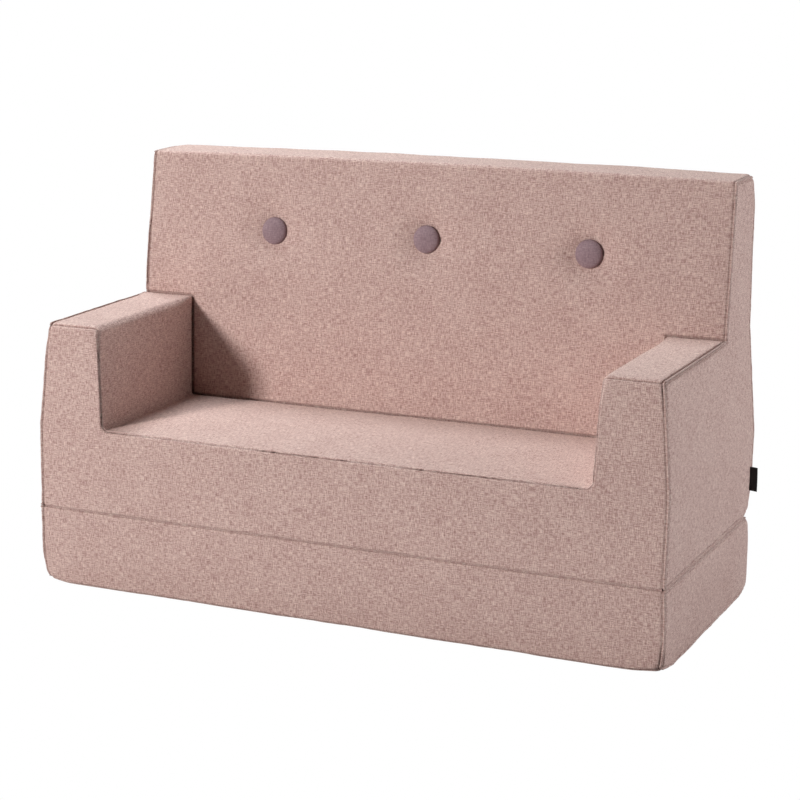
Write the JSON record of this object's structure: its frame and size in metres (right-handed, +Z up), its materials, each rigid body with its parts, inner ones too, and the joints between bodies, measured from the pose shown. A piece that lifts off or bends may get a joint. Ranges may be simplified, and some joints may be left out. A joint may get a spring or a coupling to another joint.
{
  "type": "child's flip-open foam sofa",
  "caption": "Small foam sofa in woven covers: a block with seat, arms and buttoned back on a slab that folds out in front as a lounger.",
  "frame": {"origin": "centre of the slab's underside, on the floor", "axes": "+X to the right as seen from the front, -Y to the front, +Z up"},
  "size_m": [0.9635, 0.4142, 0.6],
  "materials": {
    "pink_weave": "matte heathered weave",
    "button_weave": "matte weave",
    "foam": "open-cell foam",
    "black_tape": "woven tape",
    "zip_tape": "woven tape with moulded coil",
    "twine": "twisted",
    "plastic": "satin"
  },
  "bodies": {
    "seat_block": {"front_panel": "pink_weave", "seat_and_arm_panel": "pink_weave", "back_panel": "pink_weave", "rear_panel": "pink_weave", "underside_panel": "pink_weave", "left_side_panel": "pink_weave", "right_side_panel": "pink_weave", "hinge_welt": "pink_weave", "seat_foam": "foam", "back_foam": "foam", "left_arm_foam": "foam", "right_arm_foam": "foam", "left_button": "button_weave", "middle_button": "button_weave", "right_button": "button_weave", "left_twine": "twine", "middle_twine": "twine", "right_twine": "twine", "left_anchor": "plastic", "middle_anchor": "plastic", "right_anchor": "plastic", "seat_zip": "zip_tape", "side_tag": "black_tape"},
    "slab": {"slab_foam": "foam", "slab_front_panel": "pink_weave", "slab_top_panel": "pink_weave", "slab_bottom_panel": "pink_weave", "slab_left_panel": "pink_weave", "slab_right_panel": "pink_weave", "slab_zip": "zip_tape"},
    "seat_zip_slider": {"seat_zip_slider": "plastic"},
    "slab_zip_slider": {"slab_zip_slider": "plastic"}
  },
  "joints": [
    {"name": "fold_out", "type": "hinge", "parent": "seat_block", "child": "slab", "pos_m": [0, -0.1975, 0.1145], "axis": [-1, 0, 0], "range_deg": [0, 180]},
    {"name": "seat_zip_slide", "type": "slide", "parent": "seat_block", "child": "seat_zip_slider", "axis": [1, 0, 0], "range_m": [0, 0.801]},
    {"name": "slab_zip_slide", "type": "slide", "parent": "slab", "child": "slab_zip_slider", "axis": [1, 0, 0], "range_m": [0, 0.801]}
  ]
}
